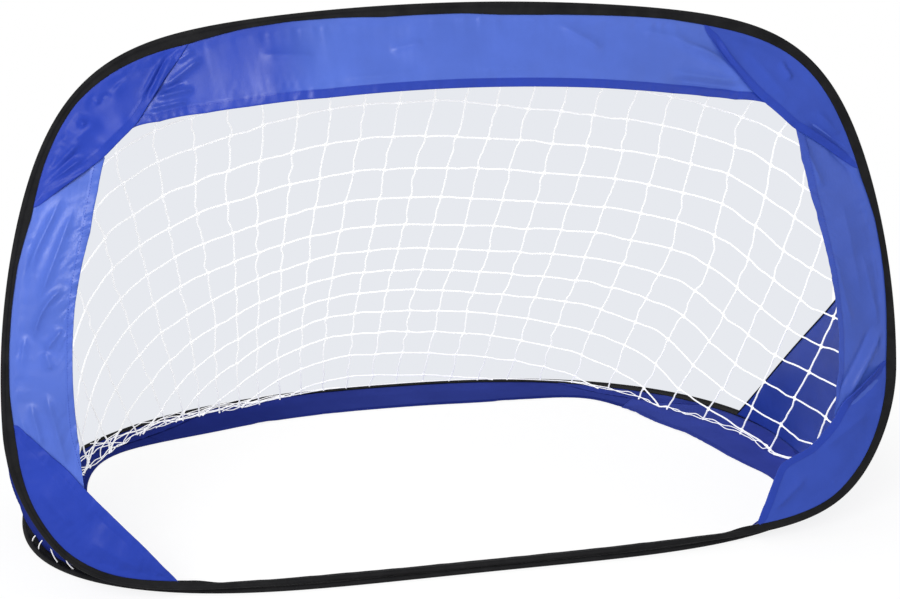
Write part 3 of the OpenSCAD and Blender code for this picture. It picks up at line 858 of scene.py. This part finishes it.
def make_all_cloth():
    """Every band and corner piece; gives the stitches of each body."""
    sewn = {"mouth": [], "base": []}

    def make(kind, body, *where, **more):
        sewn[body].append(kind(body, *where, **more)[1])

    make(band, "mouth", "top", MOUTH_CUT, 180 - MOUTH_CUT, MOUTH_CUT, hem_profile(TOP_HEM),
         layers=top_painted_shade)
    make(band, "base", "rear", BASE_CUT, 180 - BASE_CUT, BASE_CUT, rounded(REAR_WIDTH),
         layers=rear_painted_shade, crinkle=0.3, seed=2)
    # Painted shade: the layers and hem values differ from side to side, darkening the mouth's right
    # band, the base's left band and the left corner pieces
    for left, side in ((False, "right"), (True, "left")):
        pick = lambda for_right, for_left: for_left if left else for_right
        seed = 3 + left
        make(band, "mouth", side, MOUTH_FOOT, MOUTH_CUT - BAND_GAP, MOUTH_FOOT_INNER,
             hem_profile(pick(RIGHT_HEM, LEFT_HEM)), left=left, layers=pick(0.35, 0.0),
             hem=pick(0.6, 0.0), crinkle=pick(1.3, 2.0), seed=seed)
        make(band, "base", side, BASE_FOOT, BASE_CUT - 0.05, BASE_FOOT_INNER,
             rounded(pick(RIGHT_WIDTH, LEFT_WIDTH)), left=left, layers=pick(0.0, 1.0), hem=0.3,
             crinkle=0.5, seed=seed + 2)
        # Place of each corner piece, its angles and depth
        for body, end, start, stop, depth, step in (
                ("mouth", "top", 31, pick(56, 54.5), None, 4), ("mouth", "bottom", -51, 1, None, 6),
                ("base", "rear", 27, 59, 55, 8), ("base", "front", -50, 5, 50, 10)):
            single, hem = (0.65, 0.9) if body == "mouth" else (0.3, 0.5)
            make(corner, body, f"{end}_{side}", start, stop, left, depth,
                 layers=pick(single, 1.0), hem=hem, seed=seed + step)
    return sewn


# ---- Surfaces between the two hoops ----

def between(angle, v, inset, low_inset, clear):
    """Point of a taut surface from the mouth hoop (v = 0) to the base hoop (v = 1)."""
    top = in_space("mouth", hoop_inset(MOUTH, angle, inset), -BEAD_R * 2 - clear)
    rise = profile(low_inset, BASE_TOP)
    low = in_space("base", hoop_inset(BASE, angle, low_inset), rise + clear)
    v = np.asarray(v)[..., None]
    return (1 - v) * top + v * low


def taut_normal(surface, angle, v):
    """Direction square to such a surface, into the goal."""
    across = surface(angle + 1, v) - surface(angle - 1, v)
    return unit(np.cross(across, surface(angle, 1) - surface(angle, 0)))


def bend_between(piece):
    """Bake a piece's place into its points, and read the points back."""
    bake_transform(piece)
    points = np.empty(len(piece.data.vertices) * 3)
    piece.data.vertices.foreach_get("co", points)


# ---- Net ----

def net_surface(angle, v):
    return between(angle, v, NET_INSET, profile(angle, NET_EDGE), CORD_R)


def unroll(angles):
    """Ends of straight lines from hoop to hoop, when the net is laid flat from the middle on."""
    tops, lows = net_surface(angles, 0), net_surface(angles, 1)
    apart = lambda a, b: np.linalg.norm(a - b)
    flat_top, flat_low = [np.array([0, apart(tops[0], lows[0])])], [np.array([0.0, 0.0])]

    def placed(p, q, from_p, from_q):
        d = apart(q, p)
        x = (from_p ** 2 - from_q ** 2 + d * d) / (2 * d)
        along = (q - p) / d
        return p + x * along + math.sqrt(max(0, from_p ** 2 - x * x)) * along[::-1] * (1, -1)

    for k in range(1, len(angles)):
        low = placed(flat_low[-1], flat_top[-1], apart(lows[k], lows[k - 1]),
                     apart(lows[k], tops[k - 1]))
        top = placed(low, flat_top[-1], apart(tops[k], lows[k]), apart(tops[k], tops[k - 1]))
        flat_low.append(low)
        flat_top.append(top)
    return np.array(flat_top), np.array(flat_low)


def net_rulings():
    """Straight lines from hoop to hoop and where they fall when the net is laid flat."""
    right = np.arange(90.0, NET_FROM - 0.5, -1.0)
    left = 180 - right
    flat = [np.concatenate([b[:0:-1] * (-1, 1), a]) for a, b in zip(unroll(right), unroll(left))]
    return np.concatenate([left[:0:-1], right]), *flat


RULINGS = net_rulings()


def net_bulge(angle):
    """How far the net stands inside its taut surface halfway down: outside it at the rear,
    below zero, and inside it at the sides."""
    off = abs(angle - 90)
    return np.interp(off, [0, 20, 45, 70, 100, 136], [-34, -34, -40, 10, 12, 0])


def net_place(p):
    """Places in space, directions into the goal, shares of the way down, and whether the net
    reaches there, for points of the flat net."""
    angles, top, low = RULINGS
    side = unit(low - top)
    off = (p[:, None, 0] - top[None, :, 0]) * side[None, :, 1] \
        - (p[:, None, 1] - top[None, :, 1]) * side[None, :, 0]
    after = np.clip((off < 0).argmin(axis=1), 1, len(angles) - 1)
    k = np.arange(len(p))
    d0, d1 = off[k, after - 1], off[k, after]
    f = np.clip(d0 / np.where(d0 == d1, 1, d0 - d1), 0, 1)

    def mix(values):
        share = f[:, None] if values.ndim == 2 else f
        return values[after - 1] + (values[after] - values[after - 1]) * share

    a, t, b = mix(angles), mix(top), mix(low)
    v = ((p - t) * (b - t)).sum(1) / ((b - t) ** 2).sum(1)
    inside = (d0 * d1 <= 0) & (v >= 0) & (v <= 1)
    v = np.clip(v, 0, 1)
    normal = taut_normal(net_surface, a, v)
    place = net_surface(a, v) + normal * (net_bulge(a) * 4 * v * (1 - v))[:, None]
    return place, normal, v, inside


def slack(p):
    """Flat net's points moved a little, as its cords hang unevenly."""
    for size, reach, seed in ((5, 150, 61), (CORD_WAVE, 26, 63), (0.8, 11, 66)):
        x, y = p.T / reach
        p = p + size * np.stack([noise(x, y, seed + k) for k in (0, 1)], 1)
    return p


def net_cord(line):
    """Runs of one cord that lie on the net, as points in space."""
    points, _, _, inside = net_place(slack(line))
    runs = np.split(np.arange(len(line)), np.where(np.diff(inside.astype(int)))[0] + 1)
    return [points[run] for run in runs if inside[run[0]] and len(run) > 3]


# Where the knots lie in the flat net, fitted to the photograph: each line gives the rising
# powers of c for one power of r, with c = (column + 7) / 12 and r = row - 1
KNOT_X = ((87.5, 586.7, 32.2, 5.8), (2.8, 5.0, 11.8), (-0.6, -0.5))
KNOT_Y = ((762.9, -76.1, -86.4, 142.1, 54.6), (-86.2, 9.6, 29.9, 9.1), (2.2, -1.0, -3.6))
ROWS_SEEN = (-0.5, 7.5)
MESH_W, MESH_H, ROW_RISE = 56, 62, 21   # of the meshes past those that can be seen
COLUMNS, ROWS = range(-33, 20), range(-4, 15)
ALONG_COLUMN, ALONG_ROW = np.arange(-4, 17, 0.1), np.arange(-34, 21, 0.13)


def net_point(column, row):
    """Flat place of a knot of the net."""
    c, r = np.broadcast_arrays((column + 7) / 12, row - 1)
    near_c, near_r = np.clip(c, -1, 1), np.clip(r, *ROWS_SEEN)
    x, y = (sum(np.polyval(line[::-1], near_c) * near_r ** k for k, line in enumerate(lines))
            for lines in (KNOT_X, KNOT_Y))
    past = 12 * (c - near_c)
    return np.stack([x + past * MESH_W, y + past * ROW_RISE - (r - near_r) * MESH_H], -1)


def slack_cord(angles, inset, clear):
    """Cord that lies on the base at a distance inside its outer edge."""
    inset = np.maximum(inset, SLACK_INSET - 0.5)
    return between(angles, 1, NET_INSET, inset, CORD_R + clear)


def border_cords():
    """Cords along both hoops, and the net's slack rows that lie bunched on the base's bands."""
    angles = np.linspace(NET_FROM, 180 - NET_FROM, 900)
    cords = [between(angles, 0.004, NET_INSET, NET_INSET, 1.5)]
    edge = profile(angles, NET_EDGE)
    loose = smooth(10, 40, edge)
    for share, seed, reach in SLACK_ROWS:
        wave = loose * (reach * noise(angles / 5, 0, seed)
                        + 1.5 * noise(angles / 1.6, 0, seed + 10))
        lift = 1.5 + 3 * loose * (1 + noise(angles / 2.7, 0, seed + 20))
        cord = slack_cord(angles, SLACK_INSET + (edge - SLACK_INSET) * share + wave, lift)
        # Only the left of the net has all four
        cords.append(cord if share > 0.9 else cord[(angles > 108) & (angles < 200)])
    # Slack cords that run from the net's lower border up to the rim, at its left
    t = np.linspace(0, 1, 40)
    for start in np.arange(116, 180, 4.6):
        for run, seed in ((-14, 91), (4, 92))[:1 + int(start) % 2]:
            at = start + run * t * (1 + 0.4 * noise(start / 5, 0, seed))
            inset = (SLACK_INSET + (profile(at, NET_EDGE) - SLACK_INSET) * (1 - t ** 0.8)
                     + 2.5 * noise(at / 3, t, seed))
            cords.append(slack_cord(at, inset, 2.5))
    return cords


def lacing():
    """Cord that laces the two hoops together at their front corners: the bits that show
    outside the gusset."""
    t = np.linspace(0, 1, 12)[:, None]
    cords = []
    for mirror in (1, -1):
        for start, end in LACING:
            top = in_space("mouth", hoop_inset(MOUTH, start, 4), -5.5)
            low = in_space("base", hoop_inset(BASE, end, 6), BEAD_R + SLACK_R)
            cord = top + (low - top) * t + 4 * t * (1 - t) * (LACING_BOW, 0, 0)
            cords.append(cord * (mirror, 1, 1))
    return cords


def knots():
    """Points, faces and UVs of a small loop of cord at each place where two cords cross."""
    column, row = (a.ravel() for a in np.meshgrid(COLUMNS, ROWS, indexing="ij"))
    flat = slack(net_point(column, row))
    here, normal, v, inside = net_place(flat)
    along = unit(net_place(flat + (4, 0))[0] - here)
    down = np.cross(normal, along)
    t = np.linspace(0, 2 * math.pi, 17)[:-1, None]
    width, height, depth = KNOT_SIZE
    faces = grid_faces(16, 6, 0, True, True)
    uv = np.stack(np.meshgrid(np.arange(16.0), abs(np.arange(6) - 3.0), indexing="ij"), -1)
    for k in np.where(inside & (v > 0.01) & (v < 0.99))[0]:
        loop = (here[k] + along[k] * width * np.sin(t) + down[k] * height * np.sin(2 * t + 0.6)
                + normal[k] * depth * np.cos(3 * t))
        run = unit(np.roll(loop, -1, 0) - np.roll(loop, 1, 0))
        side = unit(np.cross(run, normal[k]))
        yield rings(loop, run, side, KNOT_R, 6).reshape(-1, 3), faces, uv.reshape(-1, 2)


def make_net():
    lines = [net_point(column, ALONG_COLUMN) for column in COLUMNS]
    lines += [net_point(ALONG_ROW, row) for row in ROWS]
    paths = [run for line in lines for run in net_cord(line)]
    parts = [tubes(paths, CORD_R, 8), tubes(border_cords() + lacing(), SLACK_R, 8), *knots()]
    points, faces = join_parts([part[:2] for part in parts])
    piece = make_piece("net_cords", points, faces, CORD, np.concatenate([p[2] for p in parts]))
    bend_between(piece)
    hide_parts("net")


# ---- Gussets ----

def gusset_place(angle, v):
    return between(angle, v, GUSSET_INSET, GUSSET_LOW_INSET, 0.8)


def gusset_surface(angle, v, left):
    """Point of a side gusset: taut along its edges, bulged outwards, with pull folds."""
    share = (angle - GUSSET_FROM) / (GUSSET_TO - GUSSET_FROM)
    span = smooth(0, 0.35, share)
    hollow = 4 * v * (1 - v)
    seed = 71 + 5 * left
    bulge = GUSSET_BULGE * hollow * span
    radial = 6.5 * hollow * span * noise(share * 7, v * 1.3, seed)
    # Creases run across the pull, with a sharp crest
    crest = noise(share * 13 + v * 4, v * 3, seed + 1)
    tension = 5.0 * hollow * span * (0.5 - abs(crest))
    normal = taut_normal(gusset_place, angle, v)
    normal *= np.sign(normal[..., :1])
    return gusset_place(angle, v) + normal * (bulge + radial + tension)[..., None]


def make_gusset(side):
    """Side gusset with the folded binding over its free edge."""
    left = side == "left"
    angle, v = np.meshgrid(np.linspace(GUSSET_FROM, GUSSET_TO, GUSSET_ROWS),
                           np.linspace(0, 1, GUSSET_COLUMNS), indexing="ij")
    points = gusset_surface(angle, v, left) * (-1 if left else 1, 1, 1)
    normals = grid_normals(points)
    normals *= np.sign((normals[..., 0] * points[..., 0]).mean())
    both, faces = slab(points, normals, np.full(angle.shape, CLOTH_HALF))
    if left:
        faces = faces[:, ::-1]
    down = np.linalg.norm(points - points[:, :1], axis=-1)
    uv = np.stack([down, (angle - GUSSET_FROM) * 8.0], -1).reshape(-1, 2)
    piece = make_piece(f"{side}_gusset_cloth", both, faces.tolist(), CLOTH,
                       np.concatenate([uv, uv]))
    # Painted shade: the gusset is marked darker on both faces, and its outside, which takes the
    # dull blue with painted shade, is darker than the side towards the opening
    mark(piece, "layers", np.repeat([1.0, 0.75], angle.size))
    piece.data.materials.append(SHADED_CLOTH)
    piece.data.polygons.foreach_set(
        "material_index", [face.normal.x * face.center.x > 0 for face in piece.data.polygons])
    path = points[-1] + unit(points[-1] - points[-3]) * 0.6
    tube, tube_faces, tube_uv = tubes([path[::2]], TRIM_R, 10)
    trim = make_piece(f"{side}_gusset_trim", tube, tube_faces, TAPE, tube_uv)
    for part, node, slot in ((piece, "gusset", "cloth_blue"),
                             (trim, "gusset_binding", "tape_black")):
        bend_between(part)
        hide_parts(f"{side}_{node}")


# ---- Build ----

def make_stitches(name, body, parts, material):
    points, faces = join_parts(parts)
    piece = make_piece(name, points, faces, material, smooth_faces=False)
    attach(piece, body)
    return piece


sewn = make_all_cloth()
for body, seed in (("mouth", 31), ("base", 35)):
    tape, threads = make_tape(body, seed)
    seams = make_stitches(body + "_tape_stitches", body, threads, TAPE)
    hems = make_stitches(body + "_hem_stitches", body, sewn[body], STRIP_CLOTH)
    mark(hems, "layers", 1.0)
make_net()
make_gusset("right")
make_gusset("left")

# ---- Camera, light and floor ----

CAMERA_TARGET = np.array([22.32, -98.0, 296.21])
CAMERA_DISTANCE = 2259.91
CAMERA_AZIMUTH, CAMERA_ELEVATION, CAMERA_ROLL = np.radians([-12.112, 15.325, -0.435])
LENS, SENSOR = 61.69, 36
# Name, place and target in metres, size and power of each lamp
LAMPS = (("key", (-1.2, -2.4, 1.45), (0, -0.2, 0.35), 1.3, 48),
         ("fill", (2.2, -3.0, 1.2), (0, 0, 0.3), 2.0, 7))
WORLD_LIGHT = 0.4
FLOOR_REACH = 60000
FLOOR_GREY = (0.80, 0.82, 0.865)
GREY_REACH, GREY_ENDS = 7000, (4400, 6200)  # how far the grey floor reaches, where it fades
GREY_EDGE = (15, 55)       # distances inside the mouth's outer edge where it begins
FLOOR_MATT = 0.25          # share of plain matt floor beside the goal, which shows its shadow
MATT_MORE = 0.12           # how much brighter the rest glows there, to make up for it
SHADOW_REACH = 450


def camera_axes():
    """Directions to the right of, above and behind the camera."""
    a, e, r = CAMERA_AZIMUTH, CAMERA_ELEVATION, CAMERA_ROLL
    back = np.array([math.sin(a) * math.cos(e), -math.cos(a) * math.cos(e), math.sin(e)])
    right = unit(np.cross(-back, [0, 0, 1]))
    up = np.cross(back, right)
    return right * math.cos(r) + up * math.sin(r), up * math.cos(r) - right * math.sin(r), back


EYE = CAMERA_TARGET + CAMERA_DISTANCE * camera_axes()[2]


def place_object(name, data, right, up, back, at):
    """Camera or lamp at a place in metres, with the direction behind it."""
    thing = add_object(name, data)
    matrix = Matrix(np.column_stack([right, up, back]).tolist()).to_4x4()
    matrix.translation = at
    thing.matrix_world = matrix
    return thing


def make_camera():
    data = bpy.data.cameras.new("camera")
    data.lens, data.sensor_width, data.clip_end = LENS, SENSOR, 100
    bpy.context.scene.camera = place_object("camera", data, *camera_axes(), (EYE * MM).tolist())


def area_light(name, place, target, size, power):
    light = bpy.data.lights.new(name, "AREA")
    light.shape, light.size, light.energy = "DISK", size, power
    back = unit(np.array(place, float) - np.array(target, float))
    right = unit(np.cross([0, 0, 1], back))
    place_object(name, light, right, np.cross(back, right), back, place)


def directly_seen(graph):
    """1 for what the camera sees straight, in a reflection or through something."""
    rays = graph.add("LightPath").node.outputs
    shown = graph.calculate("MAXIMUM", rays["Is Camera Ray"], rays["Is Glossy Ray"])
    return graph.calculate("MAXIMUM", shown, rays["Is Transmission Ray"])


def make_world():
    """White where it is seen, and plain weaker light on the object."""
    graph = Graph(bpy.data.worlds.new("studio"))
    level = graph.calculate("MULTIPLY", directly_seen(graph), 1 - WORLD_LIGHT)
    graph.set(graph.nodes["Background"], {
        "Strength": graph.calculate("ADD", level, WORLD_LIGHT), "Color": (1, 1, 1, 1)})
    bpy.context.scene.world = graph.owner


def seen_inset(p):
    """How far inside the mouth's outer edge the camera sees a point of the floor, in mm."""
    seam = np.array([0, HINGE_Y, HINGE_Z])
    across = np.array([0, LEAN_COS, -LEAN_SIN])
    ray = p - EYE
    hit = EYE + ((seam - EYE) @ across / (ray @ across))[..., None] * ray - seam
    plane = np.stack([hit[..., 0], hit[..., 1] * LEAN_SIN + hit[..., 2] * LEAN_COS], -1)
    return MOUTH_MAP.inside(plane)


def shadow_share(p):
    """1 on the floor beside the goal and 0 at a distance from it."""
    outside = -BASE_MAP.inside(p[..., :2] + (0, BASE["length"] / 2))
    return 1 - smooth(0.1 * SHADOW_REACH, SHADOW_REACH, outside)


def floor_behind():
    """Points of the floor behind the base, in fans away from the camera, and how grey each is."""
    angles = np.linspace(-20, 200, 221)
    near = hoop_inset(BASE, angles, 7) - (0, BASE["length"] / 2)
    away = unit(near - EYE[:2])
    reach = np.concatenate([[0, 4], GREY_REACH * np.linspace(0.005, 1, 140) ** 2])
    points = near[:, None] + away[:, None] * reach[None, :, None]
    points = np.concatenate([points, np.zeros((*points.shape[:2], 1))], -1)
    grey = smooth(*GREY_EDGE, seen_inset(points)) * (1 - smooth(*GREY_ENDS, points[..., 1]))
    return points, grey


def floor_around():
    """Points of the floor under and round the goal."""
    angles = np.radians(np.arange(0, 360, 3))[:, None]
    reach = np.linspace(0, 1200, 61)[None, :]
    x, y = reach * np.cos(angles), reach * np.sin(angles)
    return np.stack([x, y, 0 * x - 0.2], -1)


def floor_material():
    """Shows white, or grey behind the goal, and lights the goal as plain pale matt. Beside the
    goal a share of it is matt white, which keeps the shadow."""
    graph = Graph(bpy.data.materials.new("floor"))
    graph.nodes.remove(graph.nodes["Principled BSDF"])
    grey = graph.attribute("grey")
    tint = graph.ramp(grey, (0.0, (1, 1, 1)), (1.0, FLOOR_GREY))
    white = graph.calculate("SUBTRACT", 1.0, grey)
    beside = graph.calculate("MULTIPLY", graph.attribute("shadow"), white)
    more = graph.calculate("MULTIPLY", beside, MATT_MORE)
    glow = graph.add("Emission", {"Color": tint, "Strength": graph.calculate("ADD", more, 1.0)})
    matt = graph.add("BsdfDiffuse", {"Color": (1, 1, 1, 1)})
    share = graph.calculate("MULTIPLY", beside, FLOOR_MATT)
    shade = graph.add("MixShader", {0: share, 1: glow, 2: matt})
    plain = graph.add("BsdfDiffuse", {"Color": (0.75, 0.75, 0.75, 1)})
    choose = graph.add("MixShader", {0: directly_seen(graph), 1: plain, 2: shade})
    graph.set(graph.nodes["Material Output"], {"Surface": choose})
    return graph.owner


def make_floor():
    """Pale floor that looks white but keeps the shadow, and is light grey behind the goal."""
    behind, grey = floor_behind()
    around = floor_around()
    far = [(x * FLOOR_REACH, y * FLOOR_REACH, -0.4)
           for x, y in ((-1, -1), (1, -1), (1, 1), (-1, 1))]
    points = np.concatenate([far, behind.reshape(-1, 3), around.reshape(-1, 3)])
    faces = [[0, 1, 2, 3]] + grid_faces(*grey.shape, 4, flip=True).tolist()
    faces += grid_faces(*around.shape[:2], 4 + grey.size, close_rows=True, flip=True).tolist()
    mesh = bpy.data.meshes.new("floor")
    mesh.from_pydata((points * MM).tolist(), [], faces)
    mesh.materials.append(floor_material())
    floor = add_object("floor", mesh)
    floor.location = (0, 0, -0.0005)
    greys, shadows = np.zeros(len(points)), shadow_share(points)
    greys[4:4 + grey.size] = grey.ravel()
    shadows[:4] = 0
    mark(floor, "grey", greys)
    mark(floor, "shadow", shadows)


make_camera()
for lamp in LAMPS:
    area_light(*lamp)
make_world()
make_floor()
bpy.context.scene.view_settings.view_transform = "Standard"
